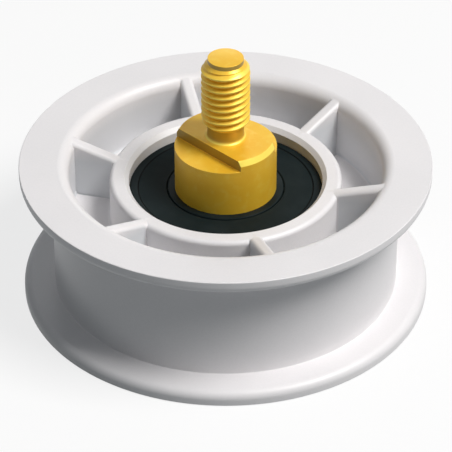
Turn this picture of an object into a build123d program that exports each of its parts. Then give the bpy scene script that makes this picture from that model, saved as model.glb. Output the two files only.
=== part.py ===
from build123d import *
import math
import os

# Tensioner pulley: a ribbed plastic pulley on a sealed two-row ball bearing, which turns on a
# steel stud. Millimetres, +Z up along the axis. The origin is the centre of the lower flange's
# face, and +X runs along the tongue across the stud's collar.

# Pulley body
pulley_width = 30.5
flange_diameter = 85.0
flange_thickness = 3.0
rim_rounding = 1.75
belt_face_diameter = 72.0
barrel_wall = 3.7
mouth_rounding = 2.5
web_thickness = 4.2
floor_rounding = 0.8
hub_wall = 4.0
hub_recess = 3.8
hub_rounding = 1.0
seat_chamfer = 0.9
lip_height = 1.7

# Ribs, the same on both sides of the web
rib_count = 6
rib_start_angle = 30.0
rib_thickness = 2.8
rib_rounding = 0.9
rib_drop_at_wall = 0.9
rib_bite = 0.5

# Bearing
bearing_bore = 17.0
bearing_diameter = 40.0
bearing_width = 17.5
ring_rounding = 0.6
shoulder_rounding = 0.25
shoulder_gap = 4.5
ball_diameter = 6.0
balls_per_row = 8
ball_play = 0.05
groove_closeness = 0.52

# Seals
seal_land = 1.9
seal_inset = 0.1
seal_thickness = 1.0
bead_width = 0.5
bead_depth = 0.5
seal_rim_width = 0.8
seal_waist = 0.6
seal_lip_width = 1.2
seal_lip_bevel = 0.3
seal_lip_gap = 0.05

# Snap cages
cage_gap = 0.9
cage_seal_gap = 0.2
cage_back = 0.7
pocket_gap = 0.12
claw_wall = 0.9
claw_reach = 1.4
claw_root = 0.85

# Stud
collar_diameter = 21.0
collar_length = 10.2
tongue_width = 10.0
tongue_height = 2.3
tongue_bevel_height = 1.15
tongue_bevel_depth = 0.68
neck_diameter = 7.5
neck_length = 3.0
neck_rounding = 0.9
thread_diameter = 10.0
thread_length = 14.6
point_diameter = 7.3
point_length = 1.0
stud_corner_rounding = 0.3
end_land = 1.6
end_chamfer = 0.5

# Retaining ring
clip_thickness = 1.0
clip_groove_width = 1.1
clip_groove_depth = 0.4
clip_height_at_back = 2.0
clip_height_at_gap = 1.3
clip_gap_half_angle = 11.0
lug_radius = 1.6
lug_hole_diameter = 1.7

# Worked out from the sizes above
middle = pulley_width / 2
flange_radius = flange_diameter / 2
belt_radius = belt_face_diameter / 2
wall_radius = belt_radius - barrel_wall
seat_radius = bearing_diameter / 2
hub_radius = seat_radius + hub_wall
hub_front = pulley_width - hub_recess
floor_front = middle + web_thickness / 2
floor_rear = middle - web_thickness / 2
bearing_front = middle + bearing_width / 2
bearing_rear = middle - bearing_width / 2
journal_radius = bearing_bore / 2
pitch_radius = (bearing_bore + bearing_diameter) / 4
inner_shoulder = pitch_radius - shoulder_gap / 2
outer_shoulder = pitch_radius + shoulder_gap / 2
seal_seat = seat_radius - seal_land
bead_seat = seal_seat + bead_depth
ball_radius = ball_diameter / 2
pocket_radius = ball_radius + pocket_gap
groove_radius = groove_closeness * ball_diameter
seal_outer_face = bearing_width / 2 - seal_inset
seal_inner_face = seal_outer_face - seal_thickness
cage_face = seal_inner_face - cage_seal_gap
row_offset = cage_face - cage_back - pocket_radius
clip_seat_radius = journal_radius - clip_groove_depth
step_height = bearing_front + collar_length
tongue_top = step_height + tongue_height


def turned(corners):
    # A body turned about Z from the (radius, height, rounding) corners of its half section
    points = [(radius, height) for radius, height, _ in corners]
    roundings = [rounding for _, _, rounding in corners]
    outline = FilletPolyline(*points, radius=roundings, close=True)
    return revolve(Plane.XZ * make_face(outline), Axis.Z)


def tube(inner, outer, low, high):
    return turned([(inner, low, 0), (outer, low, 0), (outer, high, 0), (inner, high, 0)])


def row_places(height, offset_angle):
    # Places of one row's balls on the pitch circle
    step = 360 / balls_per_row
    return [
        Location((0, 0, height), (0, 0, offset_angle + step * turn)) * Pos(pitch_radius, 0, 0)
        for turn in range(balls_per_row)
    ]


def rib():
    # One front rib along +X: its top climbs from the hub's edge to the wall
    hub_edge = hub_radius - hub_rounding
    climb = (hub_recess - rib_drop_at_wall) / (wall_radius - hub_edge)
    start = hub_edge - rib_bite
    end = wall_radius + rib_bite
    top_at_start = hub_front - climb * rib_bite
    top_at_end = pulley_width - rib_drop_at_wall + climb * rib_bite
    side = Polyline(
        (start, middle), (end, middle), (end, top_at_end), (start, top_at_start), close=True
    )
    plate = extrude(Plane.XZ * make_face(side), rib_thickness / 2, both=True)
    top = plate.faces().sort_by(Axis.Z)[-1]
    long_edges = top.edges().sort_by(SortBy.LENGTH)[-2:]
    return fillet(long_edges, min(rib_rounding, 0.45 * rib_thickness))


def pulley_body():
    lip_radius = seat_radius - lip_height
    spool = turned([
        (seat_radius, bearing_rear, 0),
        (lip_radius, bearing_rear, 0),
        (lip_radius, hub_recess + seat_chamfer, 0),
        (lip_radius + seat_chamfer, hub_recess, 0),
        (hub_radius, hub_recess, hub_rounding),
        (hub_radius, floor_rear, floor_rounding),
        (wall_radius, floor_rear, floor_rounding),
        (wall_radius, 0, mouth_rounding),
        (flange_radius, 0, 0),
        (flange_radius, flange_thickness, rim_rounding),
        (belt_radius, flange_thickness, 0),
        (belt_radius, pulley_width - flange_thickness, 0),
        (flange_radius, pulley_width - flange_thickness, rim_rounding),
        (flange_radius, pulley_width, 0),
        (wall_radius, pulley_width, mouth_rounding),
        (wall_radius, floor_front, floor_rounding),
        (hub_radius, floor_front, floor_rounding),
        (hub_radius, hub_front, hub_rounding),
        (seat_radius + seat_chamfer, hub_front, 0),
        (seat_radius, hub_front - seat_chamfer, 0),
    ])
    front_rib = rib()
    rear_rib = mirror(front_rib, Plane.XY.offset(middle))
    for turn in range(rib_count):
        place = Rot(0, 0, rib_start_angle + 360 / rib_count * turn)
        spool += [place * front_rib, place * rear_rib]
    return spool


def bearing_outer_ring():
    half = bearing_width / 2
    bead_top = seal_inner_face + bead_width
    ring = turned([
        (seat_radius, -half, ring_rounding),
        (seat_radius, half, ring_rounding),
        (seal_seat, half, shoulder_rounding),
        (seal_seat, bead_top, 0),
        (bead_seat, bead_top, 0),
        (bead_seat, seal_inner_face, 0),
        (outer_shoulder, seal_inner_face, 0),
        (outer_shoulder, -seal_inner_face, 0),
        (bead_seat, -seal_inner_face, 0),
        (bead_seat, -bead_top, 0),
        (seal_seat, -bead_top, 0),
        (seal_seat, -half, shoulder_rounding),
    ])
    groove_centre = pitch_radius + ball_radius + ball_play - groove_radius
    for side in (-1, 1):
        ring -= Pos(0, 0, side * row_offset) * Torus(groove_centre, groove_radius)
    return Pos(0, 0, middle) * ring


def bearing_inner_ring():
    half = bearing_width / 2
    ring = turned([
        (journal_radius, -half, ring_rounding),
        (inner_shoulder, -half, shoulder_rounding),
        (inner_shoulder, half, shoulder_rounding),
        (journal_radius, half, ring_rounding),
    ])
    groove_centre = pitch_radius - ball_radius - ball_play + groove_radius
    for side in (-1, 1):
        ring -= Pos(0, 0, side * row_offset) * Torus(groove_centre, groove_radius)
    return Pos(0, 0, middle) * ring


def bearing_seal():
    # The front seal: its bead snaps into the outer ring, its bevelled lip runs round the inner
    # ring, and its back is relieved between the two
    lip = inner_shoulder + seal_lip_gap
    lip_back = lip + seal_lip_width
    rim = seal_seat - seal_rim_width
    waist_face = seal_outer_face - seal_waist
    bead_top = seal_inner_face + bead_width
    seal = turned([
        (lip, seal_inner_face + seal_lip_bevel, 0),
        (lip + seal_lip_bevel, seal_inner_face, 0),
        (lip_back, seal_inner_face, 0),
        (lip_back, waist_face, 0),
        (rim, waist_face, 0),
        (rim, seal_inner_face, 0),
        (bead_seat, seal_inner_face, 0),
        (bead_seat, bead_top, 0),
        (seal_seat, bead_top, 0),
        (seal_seat, seal_outer_face, 0),
        (lip + seal_lip_bevel, seal_outer_face, 0),
        (lip, seal_outer_face - seal_lip_bevel, 0),
    ])
    return Pos(0, 0, middle) * seal


def snap_cage():
    # The front row's cage: a ring towards the seal, with claws that hold each ball
    inner = inner_shoulder + cage_gap
    outer = outer_shoulder - cage_gap
    places = row_places(row_offset, 0)
    root = row_offset + claw_root
    claws = tube(inner, outer, row_offset - claw_reach, root)
    claws &= Part() + [place * Sphere(pocket_radius + claw_wall) for place in places]
    cage = tube(inner, outer, root, cage_face) + claws
    cage -= [place * Sphere(pocket_radius) for place in places]
    return Pos(0, 0, middle) * cage


def stud():
    neck_radius = neck_diameter / 2
    thread_radius = thread_diameter / 2
    point_radius = point_diameter / 2
    collar_radius = collar_diameter / 2
    clip_low = bearing_rear - clip_groove_width
    foot = clip_low - end_land
    thread_low = tongue_top + neck_length
    thread_high = thread_low + thread_length
    body = turned([
        (0, foot, 0),
        (journal_radius - end_chamfer, foot, 0),
        (journal_radius, foot + end_chamfer, 0),
        (journal_radius, clip_low, 0),
        (clip_seat_radius, clip_low, 0),
        (clip_seat_radius, bearing_rear, 0),
        (journal_radius, bearing_rear, 0),
        (journal_radius, bearing_front, stud_corner_rounding),
        (collar_radius, bearing_front, 0),
        (collar_radius, tongue_top - tongue_bevel_height, 0),
        (collar_radius - tongue_bevel_depth, tongue_top, 0),
        (neck_radius, tongue_top, neck_rounding),
        (neck_radius, thread_low, 0),
        (thread_radius, thread_low + thread_radius - neck_radius, 0),
        (thread_radius, thread_high - thread_radius + point_radius, 0),
        (point_radius, thread_high, 0),
        (point_radius, thread_high + point_length, 0),
        (0, thread_high + point_length, 0),
    ])
    # Two flats are milled across the collar, which leaves the tongue along +X
    for side in (-1, 1):
        flat_middle = side * (tongue_width / 2 + collar_radius)
        place = Pos(0, flat_middle, step_height + tongue_height)
        body -= place * Box(2 * collar_diameter, collar_diameter, 2 * tongue_height)
    return body


def retaining_ring():
    # An open ring in the groove behind the inner ring, highest at its back, with two lugs
    outer_radius = clip_seat_radius + (clip_height_at_back + clip_height_at_gap) / 2
    shift = (clip_height_at_back - clip_height_at_gap) / 2
    lug_reach = clip_seat_radius + lug_radius
    lug_angle = clip_gap_half_angle + math.degrees(math.asin(lug_radius / lug_reach))
    lugs = [Rot(0, 0, side * lug_angle) * Pos(lug_reach, 0) for side in (-1, 1)]
    flat = Pos(-shift, 0) * Circle(outer_radius)
    gap_reach = 2 * outer_radius
    gap_half = gap_reach * math.tan(math.radians(clip_gap_half_angle))
    flat -= make_face(Polyline((0, 0), (gap_reach, -gap_half), (gap_reach, gap_half), close=True))
    flat += [lug * Circle(lug_radius) for lug in lugs]
    flat -= Circle(clip_seat_radius)
    flat -= [lug * Circle(lug_hole_diameter / 2) for lug in lugs]
    return Pos(0, 0, bearing_rear - clip_thickness) * extrude(flat, clip_thickness)


def save(shape, node):
    shape.label = node
    export_step(shape, f"parts/{node}.step")


os.makedirs("parts", exist_ok=True)
middle_plane = Plane.XY.offset(middle)
half_step = 180 / balls_per_row
front_cage = snap_cage()
front_seal = bearing_seal()

save(pulley_body(), "pulley_body")
save(bearing_outer_ring(), "bearing_outer_ring")
save(bearing_inner_ring(), "bearing_inner_ring")
save(front_seal, "bearing_seal_front")
save(mirror(front_seal, middle_plane), "bearing_seal_rear")
save(front_cage, "bearing_cage_front")
save(Rot(0, 0, half_step) * mirror(front_cage, middle_plane), "bearing_cage_rear")
save(stud(), "stud")
save(retaining_ring(), "retaining_ring")

rows = {
    "front": row_places(middle + row_offset, 0),
    "rear": row_places(middle - row_offset, half_step),
}
for row, places in rows.items():
    for number, place in enumerate(places, 1):
        save(place * Sphere(ball_radius), f"ball_{row}_{number}")
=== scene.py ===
import bpy
import bmesh
import math
from mathutils import Matrix, Vector


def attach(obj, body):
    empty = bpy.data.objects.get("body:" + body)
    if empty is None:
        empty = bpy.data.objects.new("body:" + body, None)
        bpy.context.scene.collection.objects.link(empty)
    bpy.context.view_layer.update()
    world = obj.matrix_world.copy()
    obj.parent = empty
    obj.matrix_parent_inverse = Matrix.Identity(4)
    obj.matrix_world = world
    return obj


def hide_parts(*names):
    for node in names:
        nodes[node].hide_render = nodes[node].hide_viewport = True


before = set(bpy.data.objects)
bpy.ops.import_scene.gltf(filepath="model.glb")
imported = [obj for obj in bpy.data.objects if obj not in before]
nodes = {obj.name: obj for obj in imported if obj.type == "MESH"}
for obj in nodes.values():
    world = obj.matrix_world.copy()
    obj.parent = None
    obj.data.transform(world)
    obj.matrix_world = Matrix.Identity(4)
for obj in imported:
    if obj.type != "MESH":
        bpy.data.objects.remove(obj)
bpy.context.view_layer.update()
mm = 0.001
white = (1.0, 1.0, 1.0, 1.0)
print("frame loaded:", len(nodes), "nodes")


class Signal:  # a socket that answers to plain arithmetic
    def __init__(self, graph, socket):
        self.graph = graph
        self.socket = socket

    def maths(self, operation, *others):
        return self.graph.maths(operation, self, *others)

    def __add__(self, other):
        return self.maths("ADD", other)

    def __sub__(self, other):
        return self.maths("SUBTRACT", other)

    def __rsub__(self, other):
        return self.graph.maths("SUBTRACT", other, self)

    def __mul__(self, other):
        return self.maths("MULTIPLY", other)

    def __truediv__(self, other):
        return self.maths("DIVIDE", other)

    def __rtruediv__(self, other):
        return self.graph.maths("DIVIDE", other, self)

    __radd__ = __add__
    __rmul__ = __mul__

    def held(self):  # kept between 0 and 1
        return self.maths("MINIMUM", 1.0).maths("MAXIMUM", 0.0)

    def above(self, level, soft):  # 0 up to the level, 1 from soft beyond it
        return ((self - level) / soft).held()

    def below(self, level, soft):  # 1 until soft before the level, 0 from the level on
        return ((level - self) / soft).held()

    def within(self, low, high, soft):
        return self.above(low, soft) * self.below(high, soft)

    def swing(self, amount):  # a noise's change to each side of its middle value
        return (self - 0.5) * amount

    def another(self, output):  # a further output of the same node
        return Signal(self.graph, self.socket.node.outputs[output])

    def part(self, axis):  # one axis of a vector
        return self.graph.add("ShaderNodeSeparateXYZ", sockets={"Vector": self}, output=axis)


class Graph:  # a node tree, filled by one method that sets a node up and gives one of its outputs
    def __init__(self, tree):
        tree.nodes.clear()
        self.tree = tree

    def add(self, kind, settings=None, sockets=None, output=0):
        node = self.tree.nodes.new(kind)
        for name, value in (settings or {}).items():
            setattr(node, name, value)
        for key, value in (sockets or {}).items():
            self.feed(node.inputs[key], value)
        return Signal(self, node.outputs[output]) if node.outputs else None

    def feed(self, socket, value):
        if isinstance(value, Signal):
            self.tree.links.new(value.socket, socket)
        else:
            socket.default_value = value

    def maths(self, operation, *values):
        return self.add("ShaderNodeMath", {"operation": operation}, dict(enumerate(values)))

    def blend(self, amount, first, second):  # the Mix node has its colours at 6 and 7, and out at 2
        sockets = {0: amount, 6: first, 7: second}
        return self.add("ShaderNodeMix", {"data_type": "RGBA"}, sockets, 2)

    def mixShaders(self, amount, first, second):
        return self.add("ShaderNodeMixShader", sockets=dict(enumerate((amount, first, second))))


def newMaterial(name):
    material = bpy.data.materials.new(name)
    material.use_nodes = True
    return material, Graph(material.node_tree)


def place(graph):  # where a point is on its piece, in millimetres
    where = graph.add("ShaderNodeTexCoord", output="Object")
    settings = {"operation": "SCALE"}
    return graph.add("ShaderNodeVectorMath", settings, {"Vector": where, "Scale": 1 / mm})


def fromAxis(where):  # the distance from the pulley's axis
    x = where.part("X")
    y = where.part("Y")
    return (x * x + y * y).maths("SQRT")


def levelShare(graph):  # 1 where a surface faces up or down, 0 where it leans over 41 degrees
    leaning = 0.75  # the upright part of such a surface's direction
    upright = graph.add("ShaderNodeTexCoord", output="Normal").part("Z").maths("ABSOLUTE")
    return upright.above(leaning, (1 - leaning) / 2)


def noise(graph, where, layer):  # a layer gives the texture's own sockets, its scale per millimetre
    return graph.add("ShaderNodeTexNoise", sockets={"Vector": where, **layer})


def streaks(graph, along, layer):  # noise that changes only along one value
    return graph.add("ShaderNodeTexNoise", {"noise_dimensions": "1D"}, {"W": along, **layer})


def twoTone(graph, pattern, finish):  # deep where the pattern is low, light where it is high
    share = pattern.above(finish["lightFrom"], finish["lightOver"])
    return graph.blend(share, finish["deep"], finish["light"])


def closeMaterial(graph, finish, colour, roughness, height=None):  # the bump, shader and output
    sockets = {"Base Color": colour, "Roughness": roughness, **finish["shader"]}
    if height is not None:
        bump = {"Height": height, **finish["bump"]}
        sockets["Normal"] = graph.add("ShaderNodeBump", sockets=bump)
    shader = graph.add("ShaderNodeBsdfPrincipled", sockets=sockets)
    graph.add("ShaderNodeOutputMaterial", sockets={"Surface": shader})


def addObject(name, data):
    added = bpy.data.objects.new(name, data)
    bpy.context.scene.collection.objects.link(added)
    return added


def newPiece(name, mesh):  # a finished bmesh as an object in the scene
    data = bpy.data.meshes.new(name)
    mesh.to_mesh(data)
    mesh.free()
    data.shade_smooth()
    return addObject(name, data)


def roundedOutline(corners, steps):  # (radius, height, rounding) corners to points, arcs included
    points = []
    count = len(corners)
    for number, (radius, height, rounding) in enumerate(corners):
        corner = Vector((radius, height))
        if rounding == 0:
            points.append(corner)
            continue
        before = Vector(corners[number - 1][:2]) - corner
        after = Vector(corners[(number + 1) % count][:2]) - corner
        before.normalize()
        after.normalize()
        half = before.angle(after) / 2
        bisector = (before + after).normalized()
        centre = corner + bisector * (rounding / math.sin(half))
        start = corner + before * (rounding / math.tan(half)) - centre
        sweep = math.pi - 2 * half
        turn = 1 if start.x * (corner - centre).y - start.y * (corner - centre).x > 0 else -1
        for step in range(steps + 1):
            angle = turn * sweep * step / steps
            x = start.x * math.cos(angle) - start.y * math.sin(angle)
            y = start.x * math.sin(angle) + start.y * math.cos(angle)
            points.append(centre + Vector((x, y)))
    return points


def turnedRings(mesh, outline, segments):  # an outline in mm spun about Z, one ring for each point
    rings = []
    for point in outline:
        if point.x == 0:  # on the axis a ring is one point
            rings.append([mesh.verts.new((0, 0, point.y * mm))])
            continue
        ring = []
        for number in range(segments):
            angle = math.tau * number / segments
            x = point.x * mm * math.cos(angle)
            y = point.x * mm * math.sin(angle)
            ring.append(mesh.verts.new((x, y, point.y * mm)))
        rings.append(ring)
    return rings


def bridge(mesh, rings):  # faces between each ring and the next
    for lower, upper in zip(rings, rings[1:]):
        count = max(len(lower), len(upper))
        for number in range(count):
            after = (number + 1) % count
            if len(lower) == 1:
                mesh.faces.new((lower[0], upper[after], upper[number]))
            elif len(upper) == 1:
                mesh.faces.new((lower[number], lower[after], upper[0]))
            else:
                mesh.faces.new((lower[number], lower[after], upper[after], upper[number]))


socketKinds = {  # the socket for each kind of value
    int: "NodeSocketInt",
    float: "NodeSocketFloat",
    bpy.types.Object: "NodeSocketObject",
    bpy.types.Material: "NodeSocketMaterial",
}


def newTree(name, values):  # a geometry tree with a named input for each value
    tree = bpy.data.node_groups.new(name, "GeometryNodeTree")
    for way in ("OUTPUT", "INPUT"):
        tree.interface.new_socket(name="Geometry", in_out=way, socket_type="NodeSocketGeometry")
    for label, value in values.items():
        kind = socketKinds[type(value)]
        socket = tree.interface.new_socket(name=label, in_out="INPUT", socket_type=kind)
        socket.default_value = value
    graph = Graph(tree)
    given = graph.add("NodeGroupInput")
    return tree, graph, given


def endTree(graph, geometry, material):
    whole = graph.add("GeometryNodeRealizeInstances", sockets={"Geometry": geometry})
    sockets = {"Geometry": whole, "Material": material}
    painted = graph.add("GeometryNodeSetMaterial", sockets=sockets)
    graph.add("NodeGroupOutput", sockets={"Geometry": painted})


def useTree(piece, tree, values):  # the tree as a modifier, its inputs set by identifier
    modifier = piece.modifiers.new(tree.name, "NODES")
    modifier.node_group = tree
    for item in tree.interface.items_tree:
        if item.item_type == "SOCKET" and item.in_out == "INPUT" and item.name in values:
            modifier[item.identifier] = values[item.name]


def finishMesh(piece):  # the modifiers become the piece's own plain mesh, its flats shaded flat
    even = piece.modifiers.new("EvenShading", "WEIGHTED_NORMAL")
    even.weight = 100  # large faces decide
    even.keep_sharp = True
    if "thread" in piece.vertex_groups:  # a thread keeps its plain smooth shading
        even.vertex_group = "thread"
        even.invert_vertex_group = True
    bpy.context.view_layer.update()
    evaluated = piece.evaluated_get(bpy.context.evaluated_depsgraph_get())
    data = bpy.data.meshes.new_from_object(evaluated)
    piece.modifiers.clear()
    old = piece.data
    piece.data = data
    bpy.data.meshes.remove(old)


pulleyShape = {  # millimetres
    "width": 30.5, "flangeRadius": 42.5, "flangeThickness": 3.0, "rimRounding": 1.74,
    "beltRadius": 36.0, "wallRadius": 32.3, "mouthRounding": 2.5, "webThickness": 4.2,
    "floorRounding": 0.8, "hubRadius": 24.0, "hubRecess": 3.8, "hubRounding": 1.0,
    "seatRadius": 20.0, "seatFloor": 6.5, "seatChamfer": 0.9, "lipRadius": 18.3,
    "edgeRounding": 0.18, "arcSteps": 8, "segments": 288,
}
ribShape = {  # millimetres and degrees
    "count": 6, "firstAngle": 30.0, "thickness": 2.8, "rounding": 0.9, "dropAtWall": 0.9,
    "biteAtHub": 0.5, "biteAtWall": 1.2, "arcSteps": 6, "mergeDistance": 0.002,
}
pulleyFinish = {  # places and softness in millimetres
    "light": (0.80, 0.78, 0.79, 1.0),
    "deep": (0.75, 0.735, 0.745, 1.0),
    "lightFrom": 0.34, "lightOver": 0.32,
    "cloud": {"Scale": 0.042, "Detail": 3.0},
    "speckle": {"Scale": 2.3, "Detail": 1.0},
    "speckleShare": 0.3,
    "pocketShade": (0.63, 0.645, 0.665, 1.0),  # painted shade for the rib bays' walls and, more weakly, the bearing's seat
    "pocketSoft": 0.5, "mouthDepth": 2.0, "mouthSoft": 3.0, "seatShadeStrength": 0.5,
    "margin": 0.3, "soft": 0.1,  # past a surface, and over the edge of a colour
    "rubbing": {"Scale": 1.5, "Detail": 3.0},  # by the belt
    "rubbedEdge": 0.2, "rubbedHeight": 0.8, "rubbedPolish": 0.08,
    "grain": {"Scale": 4.2, "Detail": 2.0},
    "roughness": 0.42, "cloudRoughness": 0.16,
    "bump": {"Strength": 0.35, "Distance": 0.012 * mm},
    "shader": {"IOR": 1.5, "Specular IOR Level": 0.5},
}


def bayShadeMask(radius, z):  # where the rib bays' painted shade goes: 1 between the hub and the wall, fading towards both mouths
    shape = pulleyShape
    finish = pulleyFinish
    wall = shape["wallRadius"] + finish["margin"]
    mouth = finish["mouthDepth"]
    inside = z.within(mouth, shape["width"] - mouth, finish["mouthSoft"])
    return radius.within(shape["hubRadius"], wall, finish["pocketSoft"]) * inside


def seatShadeMask(radius):  # where the seat's painted shade goes: 1 on the bearing's seat, its lip and its chamfer
    shape = pulleyShape
    soft = pulleyFinish["soft"]
    edge = shape["seatRadius"] + shape["seatChamfer"] + soft / 2
    return radius.within(shape["lipRadius"] - pulleyFinish["margin"], edge, soft)


def beltShare(radius, z):  # 1 on the face that the belt runs on
    shape = pulleyShape
    finish = pulleyFinish
    margin = finish["margin"]
    face = shape["beltRadius"]
    low = shape["flangeThickness"] + finish["rubbedEdge"]
    between = z.within(low, shape["width"] - low, finish["rubbedEdge"])
    return radius.within(face - margin, face + margin, finish["soft"]) * between


def makePulleyPlastic():
    finish = pulleyFinish
    material, graph = newMaterial("PulleyPlastic")
    where = place(graph)
    radius = fromAxis(where)
    z = where.part("Z")
    cloud = noise(graph, where, finish["cloud"])
    speckle = noise(graph, where, finish["speckle"])
    grain = noise(graph, where, finish["grain"])
    mottle = cloud * (1 - finish["speckleShare"]) + speckle * finish["speckleShare"]
    # painted shade: the bays' steep walls and the bearing's seat darken to a cooler grey
    bayShadeAmount = bayShadeMask(radius, z) * (1 - levelShare(graph))
    seatShadeAmount = seatShadeMask(radius) * finish["seatShadeStrength"]
    colour = graph.blend(bayShadeAmount + seatShadeAmount, twoTone(graph, mottle, finish), finish["pocketShade"])
    onBelt = beltShare(radius, z)
    rubbed = streaks(graph, z, finish["rubbing"]) * onBelt
    roughness = finish["roughness"] + cloud.swing(finish["cloudRoughness"])
    roughness = roughness - (onBelt - rubbed) * finish["rubbedPolish"]
    height = grain + rubbed * finish["rubbedHeight"]
    closeMaterial(graph, finish, colour, roughness, height)
    return material


def spoolCorners():  # (radius, height, rounding) from the seat's floor round the rear to its mouth
    shape = pulleyShape
    edge = shape["edgeRounding"]
    top = shape["width"]
    middle = top / 2
    floorRear = middle - shape["webThickness"] / 2
    floorFront = middle + shape["webThickness"] / 2
    belt = shape["beltRadius"]
    flange = shape["flangeRadius"]
    thick = shape["flangeThickness"]
    hubFront = top - shape["hubRecess"]
    chamfer = shape["seatChamfer"]
    return [
        (shape["seatRadius"], shape["seatFloor"], 0),
        (shape["lipRadius"], shape["seatFloor"], 0),
        (shape["lipRadius"], shape["hubRecess"] + chamfer, edge),
        (shape["lipRadius"] + chamfer, shape["hubRecess"], edge),
        (shape["hubRadius"], shape["hubRecess"], shape["hubRounding"]),
        (shape["hubRadius"], floorRear, shape["floorRounding"]),
        (shape["wallRadius"], floorRear, shape["floorRounding"]),
        (shape["wallRadius"], 0, shape["mouthRounding"]),
        (flange, 0, edge),
        (flange, thick, shape["rimRounding"]),
        (belt, thick, edge),
        (belt, top - thick, edge),
        (flange, top - thick, shape["rimRounding"]),
        (flange, top, edge),
        (shape["wallRadius"], top, shape["mouthRounding"]),
        (shape["wallRadius"], floorFront, shape["floorRounding"]),
        (shape["hubRadius"], floorFront, shape["floorRounding"]),
        (shape["hubRadius"], hubFront, shape["hubRounding"]),
        (shape["seatRadius"] + chamfer, hubFront, edge),
        (shape["seatRadius"], hubFront - chamfer, edge),
    ]


def ribMesh():  # one rib along +X through the web, rounded along its four outer edges
    shape = pulleyShape
    hubEdge = shape["hubRadius"] - shape["hubRounding"]
    wall = shape["wallRadius"]
    climb = (shape["hubRecess"] - ribShape["dropAtWall"]) / (wall - hubEdge)
    half = ribShape["thickness"] / 2
    rounding = ribShape["rounding"]
    middle = shape["width"] / 2
    ends = []
    for x in (hubEdge - ribShape["biteAtHub"], wall + ribShape["biteAtWall"]):
        reach = middle - shape["hubRecess"] + climb * (x - hubEdge)
        corners = [(-half, -reach, rounding), (half, -reach, rounding),
                   (half, reach, rounding), (-half, reach, rounding)]
        section = roundedOutline(corners, ribShape["arcSteps"])
        ends.append([Vector((x, point.x, middle + point.y)) * mm for point in section])
    mesh = bmesh.new()
    inner, outer = [[mesh.verts.new(point) for point in end] for end in ends]
    mesh.faces.new(inner)
    mesh.faces.new(outer[::-1])
    bridge(mesh, [inner, outer])
    bmesh.ops.recalc_face_normals(mesh, faces=mesh.faces)
    return newPiece("rib", mesh)


def ribTree(values):  # joins the ribs, evenly turned about the axis, to the given spool
    tree, graph, given = newTree("RibsRoundHub", values)
    count = given.another("Rib Count")
    sockets = {"Object": given.another("Rib")}
    rib = graph.add("GeometryNodeObjectInfo", sockets=sockets, output="Geometry")
    spots = graph.add("GeometryNodePoints", sockets={"Count": count})
    index = graph.add("GeometryNodeInputIndex")
    turn = index * math.tau / count + given.another("First Angle")
    angles = graph.add("ShaderNodeCombineXYZ", sockets={"Z": turn})
    rotation = graph.add("FunctionNodeEulerToRotation", sockets={"Euler": angles})
    sockets = {"Points": spots, "Instance": rib, "Rotation": rotation}
    ribs = graph.add("GeometryNodeInstanceOnPoints", sockets=sockets)
    ribs = graph.add("GeometryNodeRealizeInstances", sockets={"Geometry": ribs})
    settings = {"operation": "UNION", "solver": "EXACT"}
    sockets = {"Mesh 2": given.another("Geometry")}
    joined = graph.add("GeometryNodeMeshBoolean", settings, sockets)
    graph.feed(joined.socket.node.inputs["Mesh 2"], ribs)  # this socket takes both
    sockets = {"Geometry": joined, "Distance": given.another("Merge Distance")}
    clean = graph.add("GeometryNodeMergeByDistance", sockets=sockets)
    endTree(graph, clean, given.another("Material"))
    return tree


def buildPulley():
    outline = roundedOutline(spoolCorners(), pulleyShape["arcSteps"])
    mesh = bmesh.new()
    rings = turnedRings(mesh, outline, pulleyShape["segments"])
    bridge(mesh, rings + rings[:1])
    bmesh.ops.recalc_face_normals(mesh, faces=mesh.faces)
    pulley = newPiece("pulley_moulding", mesh)
    rib = ribMesh()
    values = {
        "Rib": rib,
        "Rib Count": ribShape["count"],
        "First Angle": math.radians(ribShape["firstAngle"]),
        "Merge Distance": ribShape["mergeDistance"] * mm,
        "Material": makePulleyPlastic(),
    }
    useTree(pulley, ribTree(values), values)
    finishMesh(pulley)
    bpy.data.objects.remove(rib)
    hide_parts("pulley_body")
    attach(pulley, "pulley")
    return pulley


pulley = buildPulley()
print("pulley moulded:", len(pulley.data.polygons), "faces")

studShape = {  # millimetres and degrees, heights from the lower flange's face
    "foot": 3.8, "journalRadius": 8.5, "grooveRadius": 8.1, "grooveLow": 5.4,
    "bearingRear": 6.5, "bearingFront": 24.0, "cornerRounding": 0.3, "endChamfer": 0.5,
    "collarRadius": 10.5, "stepHeight": 34.2, "tongueTop": 36.5, "tongueHalfWidth": 5.0,
    "bevelHeight": 1.15, "bevelDepth": 0.68, "neckRadius": 3.75, "neckRounding": 0.9,
    "threadLow": 39.5, "threadHigh": 54.1, "pointRadius": 3.65, "tip": 55.1,
    "cutterLength": 30.0, "cutterWidth": 20.0, "edgeBevel": 0.1, "edgeSteps": 3,
    "sharpFrom": 25.0, "arcSteps": 6, "segments": 144,
}
threadShape = {  # millimetres, and shares of a pitch or a turn
    "pitch": 1.5, "crestRadius": 4.98, "rootRadius": 4.13, "rootShare": 0.14,
    "flankShare": 0.70, "startTurn": 0.25, "rowsPerPitch": 36, "markMargin": 0.01,
}
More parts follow.
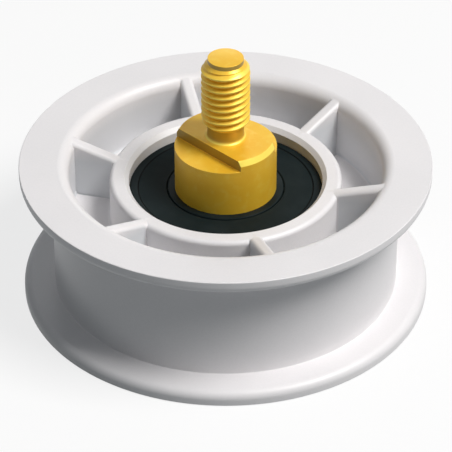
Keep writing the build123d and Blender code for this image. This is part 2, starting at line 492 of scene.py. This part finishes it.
zincFinish = {  # places and softness in millimetres
    "light": (0.90, 0.555, 0.040, 1.0),  # gold
    "deep": (0.88, 0.505, 0.030, 1.0),  # amber
    "lightFrom": 0.38, "lightOver": 0.24,
    "tint": {"Scale": 0.13, "Detail": 3.0},
    "straw": (0.92, 0.650, 0.095, 1.0),
    "strawFrom": 0.52, "strawOver": 0.25, "strawShare": 0.5,
    "stain": {"Scale": 0.62, "Detail": 2.0},
    # painted highlight: pale lemon for the bevel, the neck's root and the thread's crests
    "highlightLemon": (0.94, 0.780, 0.120, 1.0),
    "highlightShare": 0.85, "crestFrom": 4.2, "crestTo": 5.2,
    # painted shade: dark bronze for the tongue's wall, the neck and the point's side
    "shadeBronze": (0.37, 0.245, 0.035, 1.0),
    "neckTo": 4.0, "neckSoft": 0.5,
    "fine": 0.05, "soft": 0.1, "wide": 0.3,  # widths over which two colours meet
    "toolMarks": {"Scale": 4.6, "Detail": 3.0},
    "feedMarks": {"Scale": 1.3, "Detail": 3.0},
    "feedShare": 0.4,
    "roughness": 0.38, "markRoughness": 0.3, "tintRoughness": 0.12,
    "bump": {"Strength": 0.7, "Distance": 0.028 * mm},
    "shader": {"Metallic": 0.28},
}


def toolMarks(graph, radius, y, z, level):  # turned ones, and milled ones on the step
    finish = zincFinish
    step = studShape["stepHeight"]
    soft = finish["soft"]
    milled = z.within(step - 2 * soft, step + 2 * soft, soft) * level
    along = z * (1 - level) + radius * (level - milled) + y * milled  # across the tool's path
    turned = streaks(graph, along, finish["toolMarks"]) * (1 - finish["feedShare"])
    return turned + streaks(graph, along, finish["feedMarks"]) * finish["feedShare"]


def highlightShare(across, radius, z):  # painted highlight on the tongue's bevel, the neck's root and the thread's crests
    shape = studShape
    finish = zincFinish
    fine = finish["fine"]
    soft = finish["soft"]
    top = shape["tongueTop"]
    bevelStart = shape["collarRadius"] - shape["bevelDepth"] - soft
    onBevel = across.below(shape["tongueHalfWidth"] - fine, fine)
    onBevel = onBevel * radius.above(bevelStart, fine)
    onBevel = onBevel * z.within(top - shape["bevelHeight"], top, fine)
    rootEnd = shape["neckRadius"] + shape["neckRounding"] + soft
    onRoot = radius.within(shape["neckRadius"] + fine, rootEnd, soft)
    onRoot = onRoot * z.within(top - soft, top + shape["neckRounding"] + soft, soft)
    onCrest = radius.within(finish["crestFrom"], finish["crestTo"], finish["wide"])
    threaded = z.within(shape["threadLow"] + soft, shape["threadHigh"] - soft, finish["wide"])
    return (onBevel + onRoot + onCrest * threaded).held()


def paintedShadeShare(across, radius, z, steep):  # painted shade on the tongue's wall, the neck and the point's side
    shape = studShape
    finish = zincFinish
    fine = finish["fine"]
    soft = finish["soft"]
    wide = finish["wide"]
    top = shape["tongueTop"]
    wall = shape["tongueHalfWidth"]
    point = shape["pointRadius"]
    onWall = across.within(wall - soft, wall + soft, fine)
    onWall = onWall * z.within(shape["stepHeight"] + fine, top - fine, soft)
    onPoint = radius.within(point - soft, point + fine, fine)
    onPoint = onPoint * z.within(shape["threadHigh"], shape["tip"] - fine, fine)
    onNeck = radius.below(finish["neckTo"], wide)
    onNeck = onNeck * z.within(top + 2 * soft, shape["threadLow"] + wide, finish["neckSoft"])
    return ((onWall + onPoint) * steep + onNeck).held()


def makeYellowZinc():
    finish = zincFinish
    material, graph = newMaterial("YellowZinc")
    where = place(graph)
    radius = fromAxis(where)
    y = where.part("Y")
    z = where.part("Z")
    across = y.maths("ABSOLUTE")
    level = levelShare(graph)
    steep = 1 - level
    marks = toolMarks(graph, radius, y, z, level)
    tint = noise(graph, where, finish["tint"])
    stain = noise(graph, where, finish["stain"]).above(finish["strawFrom"], finish["strawOver"])
    colour = twoTone(graph, tint, finish)
    colour = graph.blend(stain * finish["strawShare"], colour, finish["straw"])
    # painted highlight: steep faces of the bevel, the neck's root and the crests turn pale lemon
    paintedHighlight = highlightShare(across, radius, z) * steep * finish["highlightShare"]
    colour = graph.blend(paintedHighlight, colour, finish["highlightLemon"])
    # painted shade: the steep tongue wall and point side, and the neck, turn dark bronze
    colour = graph.blend(paintedShadeShare(across, radius, z, steep), colour, finish["shadeBronze"])
    roughness = finish["roughness"] + marks.swing(finish["markRoughness"])
    roughness = roughness + tint.swing(finish["tintRoughness"])
    closeMaterial(graph, finish, colour, roughness, marks)
    return material


def threadTree(values):  # moves the points between both ends in or out to a rolled thread
    tree, graph, given = newTree("RolledThread", values)
    where = graph.add("GeometryNodeInputPosition")
    x = where.part("X")
    y = where.part("Y")
    z = where.part("Z")
    low = given.another("Low End")
    high = given.another("High End")
    crest = given.another("Crest Radius")
    root = given.another("Root Radius")
    turn = y.maths("ARCTAN2", x) / math.tau
    phase = (z / given.another("Pitch") - turn + given.another("Start Turn")).maths("FRACT")
    rise = 1 - (phase * 2 - 1).maths("ABSOLUTE")  # 0 in the root, 1 on the crest
    flank = ((rise - given.another("Root Share")) / given.another("Flank Share")).held()
    wave = root + (crest - root) * flank
    lowCone = given.another("Neck Radius") + (z - low)
    highCone = given.another("Point Radius") + (high - z)
    wanted = wave.maths("MINIMUM", lowCone).maths("MINIMUM", highCone)
    share = wanted / fromAxis(where)
    moved = graph.add("ShaderNodeCombineXYZ", sockets={"X": x * share, "Y": y * share, "Z": z})
    inside = z.maths("GREATER_THAN", low) * high.maths("GREATER_THAN", z)
    sockets = {"Geometry": given.another("Geometry"), "Selection": inside, "Position": moved}
    shaped = graph.add("GeometryNodeSetPosition", sockets=sockets)
    endTree(graph, shaped, given.another("Material"))
    return tree


def threadSizes():  # the values of the thread tree's inputs, in metres
    shape = studShape
    thread = threadShape
    return {
        "Pitch": thread["pitch"] * mm,
        "Crest Radius": thread["crestRadius"] * mm,
        "Root Radius": thread["rootRadius"] * mm,
        "Root Share": thread["rootShare"],
        "Flank Share": thread["flankShare"],
        "Start Turn": thread["startTurn"],
        "Low End": shape["threadLow"] * mm,
        "High End": shape["threadHigh"] * mm,
        "Neck Radius": shape["neckRadius"] * mm,
        "Point Radius": shape["pointRadius"] * mm,
    }


def studBelowThread():  # the outline from the foot to the thread's lower end
    shape = studShape
    journal = shape["journalRadius"]
    collar = shape["collarRadius"]
    groove = shape["grooveRadius"]
    corners = [
        (0, shape["foot"], 0),
        (journal - shape["endChamfer"], shape["foot"], 0),
        (journal, shape["foot"] + shape["endChamfer"], 0),
        (journal, shape["grooveLow"], 0),
        (groove, shape["grooveLow"], 0),
        (groove, shape["bearingRear"], 0),
        (journal, shape["bearingRear"], 0),
        (journal, shape["bearingFront"], shape["cornerRounding"]),
        (collar, shape["bearingFront"], 0),
        (collar, shape["tongueTop"] - shape["bevelHeight"], 0),
        (collar - shape["bevelDepth"], shape["tongueTop"], 0),
        (shape["neckRadius"], shape["tongueTop"], shape["neckRounding"]),
        (shape["neckRadius"], shape["threadLow"], 0),
    ]
    return roundedOutline(corners, shape["arcSteps"])


def studAboveThread():  # the outline of the dog point
    point = studShape["pointRadius"]
    tip = studShape["tip"]
    return [Vector((point, studShape["threadHigh"])), Vector((point, tip)), Vector((0, tip))]


def climbingRows(mesh):  # rings whose rows rise with the thread, so that its crests run along them
    shape = studShape
    segments = shape["segments"]
    perRow = segments // threadShape["rowsPerPitch"]  # points in which the thread climbs one row
    step = threadShape["pitch"] / threadShape["rowsPerPitch"]
    count = int((shape["threadHigh"] - shape["threadLow"]) / step) - 1
    rows = []
    for row in range(count):
        ring = []
        for number in range(segments):
            angle = math.tau * number / segments
            height = shape["threadLow"] + (row + 1 + number % perRow / perRow) * step
            spot = Vector((math.cos(angle), math.sin(angle), 0)) * shape["neckRadius"]
            ring.append(mesh.verts.new((spot + Vector((0, 0, height))) * mm))
        rows.append(ring)
    for number in range(segments):
        after = (number + 1) % segments
        rise = 1 if after % perRow == 0 else 0  # here each row meets the next one up
        for row in range(count - 1 - rise):
            mesh.faces.new((rows[row][number], rows[row + rise][after],
                            rows[row + rise + 1][after], rows[row + 1][number]))
        if rise:
            mesh.faces.new((rows[0][number], rows[0][after], rows[1][after]))
            mesh.faces.new((rows[-2][number], rows[-1][after], rows[-1][number]))
    return rows[0], rows[-1]


def markThread(stud):  # groups the thread's points, its lower end's but not its upper end's
    low = (studShape["threadLow"] - threadShape["markMargin"]) * mm
    high = (studShape["threadHigh"] - threadShape["markMargin"]) * mm
    points = [point.index for point in stud.data.vertices if low < point.co.z < high]
    stud.vertex_groups.new(name="thread").add(points, 1.0, "REPLACE")


def cutFlats(stud):  # mills the collar down on both sides of the tongue
    shape = studShape
    length = shape["cutterLength"]
    width = shape["cutterWidth"]
    top = shape["tongueTop"]
    cutters = []
    for side in (-1, 1):
        cube = bmesh.new()
        bmesh.ops.create_cube(cube, size=1.0)
        size = Vector((length, width, 2 * (top - shape["stepHeight"]))) * mm
        centre = Vector((0, side * (shape["tongueHalfWidth"] + width / 2), top)) * mm
        bmesh.ops.scale(cube, vec=size, verts=cube.verts)
        bmesh.ops.translate(cube, vec=centre, verts=cube.verts)
        cutter = newPiece("cutter", cube)
        cut = stud.modifiers.new("Flat", "BOOLEAN")
        cut.operation = "DIFFERENCE"
        cut.solver = "EXACT"
        cut.object = cutter
        cutters.append(cutter)
    return cutters


def breakEdges(stud):  # a small rounding along each edge that turns by more than sharpFrom
    bevel = stud.modifiers.new("BrokenEdges", "BEVEL")
    bevel.width = studShape["edgeBevel"] * mm
    bevel.segments = studShape["edgeSteps"]
    bevel.limit_method = "ANGLE"
    bevel.angle_limit = math.radians(studShape["sharpFrom"])


def buildStud():
    segments = studShape["segments"]
    mesh = bmesh.new()
    below = turnedRings(mesh, studBelowThread(), segments)
    lowest, highest = climbingRows(mesh)
    above = turnedRings(mesh, studAboveThread(), segments)
    bridge(mesh, below + [lowest])
    bridge(mesh, [highest] + above)
    bmesh.ops.recalc_face_normals(mesh, faces=mesh.faces)
    stud = newPiece("tensioner_stud", mesh)
    markThread(stud)
    cutters = cutFlats(stud)
    breakEdges(stud)
    values = {**threadSizes(), "Material": makeYellowZinc()}
    useTree(stud, threadTree(values), values)
    finishMesh(stud)
    for cutter in cutters:
        bpy.data.objects.remove(cutter)
    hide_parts("stud")
    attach(stud, "stud_assembly")
    return stud


stud = buildStud()
print("stud turned and threaded:", len(stud.data.polygons), "faces")

gapShadeLook = {  # painted shade along the line where each seal meets the outer ring, in millimetres
    "colour": (0.0008, 0.001, 0.001, 1.0),
    "landWidth": 1.9, "halfWidth": 0.16,
}


def gapShade(graph, radius, colour):  # painted gap shade: the ring and the seal each show half of the line
    middle = pulleyShape["seatRadius"] - gapShadeLook["landWidth"]
    half = gapShadeLook["halfWidth"]
    line = radius.within(middle - half, middle + half, half / 2)
    return graph.blend(line, colour, gapShadeLook["colour"])


steelFinish = {
    "light": (0.012, 0.018, 0.019, 1.0),
    "deep": (0.006, 0.011, 0.012, 1.0),
    "lightFrom": 0.4, "lightOver": 0.3,
    "cloud": {"Scale": 0.16, "Detail": 3.0},
    "grinding": {"Scale": 5.2, "Detail": 3.0},
    "roughness": 0.42, "cloudRoughness": 0.1, "groundRoughness": 0.2,
    "bump": {"Strength": 0.4, "Distance": 0.006 * mm},
    "shader": {"Specular IOR Level": 0.06},
}


def makeBlackSteel():
    finish = steelFinish
    material, graph = newMaterial("BlackSteel")
    where = place(graph)
    radius = fromAxis(where)
    ground = streaks(graph, radius, finish["grinding"])
    cloud = noise(graph, where, finish["cloud"])
    # with the painted gap shade where the seal meets the ring
    colour = gapShade(graph, radius, twoTone(graph, cloud, finish))
    roughness = finish["roughness"] + ground.swing(finish["groundRoughness"])
    roughness = roughness + cloud.swing(finish["cloudRoughness"])
    closeMaterial(graph, finish, colour, roughness, ground)
    return material


rubberFinish = {
    "light": (0.011, 0.017, 0.018, 1.0),
    "deep": (0.006, 0.011, 0.012, 1.0),
    "lightFrom": 0.42, "lightOver": 0.3,
    "cloud": {"Scale": 0.21, "Detail": 3.0},
    "grain": {"Scale": 5.2, "Detail": 2.0},
    "roughness": 0.62, "cloudRoughness": 0.2,
    "bump": {"Strength": 0.4, "Distance": 0.01 * mm},
    "shader": {"Specular IOR Level": 0.07},
}


def makeSealRubber():
    finish = rubberFinish
    material, graph = newMaterial("SealRubber")
    where = place(graph)
    cloud = noise(graph, where, finish["cloud"])
    grain = noise(graph, where, finish["grain"])
    # with the painted gap shade where the seal meets the ring
    colour = gapShade(graph, fromAxis(where), twoTone(graph, cloud, finish))
    roughness = finish["roughness"] + cloud.swing(finish["cloudRoughness"])
    closeMaterial(graph, finish, colour, roughness, grain)
    return material


ballFinish = {
    "light": (0.80, 0.80, 0.82, 1.0),
    "deep": (0.72, 0.73, 0.76, 1.0),
    "lightFrom": 0.4, "lightOver": 0.3,
    "haze": {"Scale": 0.9, "Detail": 2.0},
    "roughness": 0.1, "hazeRoughness": 0.06,
    "shader": {"Metallic": 1.0},
}


def makeBallSteel():
    finish = ballFinish
    material, graph = newMaterial("BallSteel")
    haze = noise(graph, place(graph), finish["haze"])
    roughness = finish["roughness"] + haze.swing(finish["hazeRoughness"])
    closeMaterial(graph, finish, twoTone(graph, haze, finish), roughness)
    return material


cageFinish = {
    "light": (0.74, 0.69, 0.55, 1.0),
    "deep": (0.66, 0.60, 0.46, 1.0),
    "lightFrom": 0.4, "lightOver": 0.3,
    "cloud": {"Scale": 0.3, "Detail": 3.0},
    "grain": {"Scale": 5.2, "Detail": 2.0},
    "roughness": 0.5, "cloudRoughness": 0.1,
    "bump": {"Strength": 0.3, "Distance": 0.008 * mm},
    "shader": {"IOR": 1.5},
}


def makeCagePlastic():
    finish = cageFinish
    material, graph = newMaterial("CagePlastic")
    where = place(graph)
    cloud = noise(graph, where, finish["cloud"])
    grain = noise(graph, where, finish["grain"])
    roughness = finish["roughness"] + cloud.swing(finish["cloudRoughness"])
    closeMaterial(graph, finish, twoTone(graph, cloud, finish), roughness, grain)
    return material


springFinish = {
    "light": (0.10, 0.10, 0.105, 1.0),
    "deep": (0.055, 0.055, 0.060, 1.0),
    "lightFrom": 0.42, "lightOver": 0.25,
    "crystal": {"Scale": 2.6, "Detail": 4.0, "Roughness": 0.65},
    "roughness": 0.48, "crystalRoughness": 0.2,
    "bump": {"Strength": 0.3, "Distance": 0.008 * mm},
    "shader": {"Metallic": 0.6},
}


def makeSpringSteel():
    finish = springFinish
    material, graph = newMaterial("SpringSteel")
    crystal = noise(graph, place(graph), finish["crystal"])
    roughness = finish["roughness"] + crystal.swing(finish["crystalRoughness"])
    closeMaterial(graph, finish, twoTone(graph, crystal, finish), roughness, crystal)
    return material


def dress(start, material):  # every node whose name starts so
    for name, node in nodes.items():
        if name.startswith(start):
            node.data.materials.clear()
            node.data.materials.append(material)


blackSteel = makeBlackSteel()
dress("bearing_outer_ring", blackSteel)
dress("bearing_inner_ring", blackSteel)
dress("bearing_seal", makeSealRubber())
dress("bearing_cage", makeCagePlastic())
dress("ball_", makeBallSteel())
dress("retaining_ring", makeSpringSteel())
print("frame pieces dressed")

floorLook = {  # metres
    "size": 4.0, "drop": 0.0001,
    "seen": (0.85, 0.85, 0.85, 1.0), "bounce": (0.26, 0.28, 0.29, 1.0),
    "glow": 0.78,
}
worldLook = {"fill": (0.80, 0.93, 1.0, 1.0), "fillStrength": 0.08, "glossStrength": 0.8}


def shownShare(graph):  # 1 for what the camera sees, by itself or through gloss and glass
    seen = graph.add("ShaderNodeLightPath", output="Is Camera Ray")
    mirrored = seen.another("Is Glossy Ray") + seen.another("Is Transmission Ray")
    return (seen + mirrored).maths("MINIMUM", 1.0)


def makeFloorMaterial():
    material, graph = newMaterial("StudioFloor")
    shown = shownShare(graph)
    tone = graph.blend(shown, floorLook["bounce"], floorLook["seen"])
    matt = graph.add("ShaderNodeBsdfDiffuse", sockets={"Color": tone})
    glow = graph.add("ShaderNodeEmission", sockets={"Color": white, "Strength": 1.0})
    mixed = graph.mixShaders(shown * floorLook["glow"], matt, glow)
    graph.add("ShaderNodeOutputMaterial", sockets={"Surface": mixed})
    return material


def buildFloor():
    half = floorLook["size"] / 2
    under = -floorLook["drop"]
    data = bpy.data.meshes.new("studio_floor")
    corners = [(-half, -half, under), (half, -half, under),
               (half, half, under), (-half, half, under)]
    data.from_pydata(corners, [], [(0, 1, 2, 3)])
    data.materials.append(makeFloorMaterial())
    floor = addObject("studio_floor", data)


def buildWorld():
    world = bpy.data.worlds.new("Studio")
    world.use_nodes = True
    graph = Graph(world.node_tree)
    sockets = {"Color": worldLook["fill"], "Strength": worldLook["fillStrength"]}
    fill = graph.add("ShaderNodeBackground", sockets=sockets)
    sockets = {"Color": white, "Strength": worldLook["glossStrength"]}
    bright = graph.add("ShaderNodeBackground", sockets=sockets)
    mixed = graph.mixShaders(shownShare(graph), fill, bright)
    graph.add("ShaderNodeOutputWorld", sockets={"Surface": mixed})
    bpy.context.scene.world = world


cameraView = {  # the photograph's, from the middle of the upper flange's face, in mm and degrees
    "azimuth": 45.0, "distance": 441.5, "height": 297.9, "sideways": 0.07, "pitch": 35.478,
    "lens": 206.28, "sensor": 36.0, "nearest": 20.0, "farthest": 20000.0,
}


def buildCamera():
    view = cameraView
    data = bpy.data.cameras.new("PhotoCamera")
    data.lens = view["lens"]
    data.sensor_width = view["sensor"]
    data.clip_start = view["nearest"] * mm
    data.clip_end = view["farthest"] * mm
    azimuth = math.radians(view["azimuth"])
    height = pulleyShape["width"] + view["height"]
    stand = Vector((view["sideways"], -view["distance"], height)) * mm
    camera = addObject("PhotoCamera", data)
    camera.location = Matrix.Rotation(azimuth, 4, "Z") @ stand
    camera.rotation_euler = (math.radians(90 - view["pitch"]), 0, azimuth)
    bpy.context.scene.camera = camera


lampHeight = 0.02  # metres, of the point that they all face
lamps = [  # turn from the camera's right and rise from the floor in degrees, sizes in metres
    {"name": "KeySoftbox", "turn": -22.0, "rise": 56.0, "distance": 1.4, "size": 0.65,
     "watts": 22.0, "colour": (1.0, 0.985, 0.97)},
    {"name": "LeftFill", "turn": 200.0, "rise": 62.0, "distance": 1.2, "size": 0.9,
     "watts": 0.8, "colour": (0.93, 0.97, 1.0)},
    {"name": "RearStrip", "turn": 92.0, "rise": 12.0, "distance": 1.1, "size": 0.5,
     "watts": 0.9, "colour": (0.97, 0.99, 1.0)},
]


def buildLamps():
    for lamp in lamps:
        data = bpy.data.lights.new(lamp["name"], "AREA")
        data.energy = lamp["watts"]
        data.size = lamp["size"]
        data.color = lamp["colour"]
        turn = math.radians(lamp["turn"] + cameraView["azimuth"])
        rise = math.radians(lamp["rise"])
        level = math.cos(rise)
        back = Vector((math.cos(turn) * level, math.sin(turn) * level, math.sin(rise)))
        light = addObject(lamp["name"], data)
        light.location = Vector((0, 0, lampHeight)) + back * lamp["distance"]
        light.visible_camera = False
        light.rotation_mode = "QUATERNION"
        light.rotation_quaternion = (-back).to_track_quat("-Z", "Y")


buildFloor()
buildWorld()
buildCamera()
buildLamps()
bpy.context.scene.view_settings.view_transform = "Standard"
print("stage set")
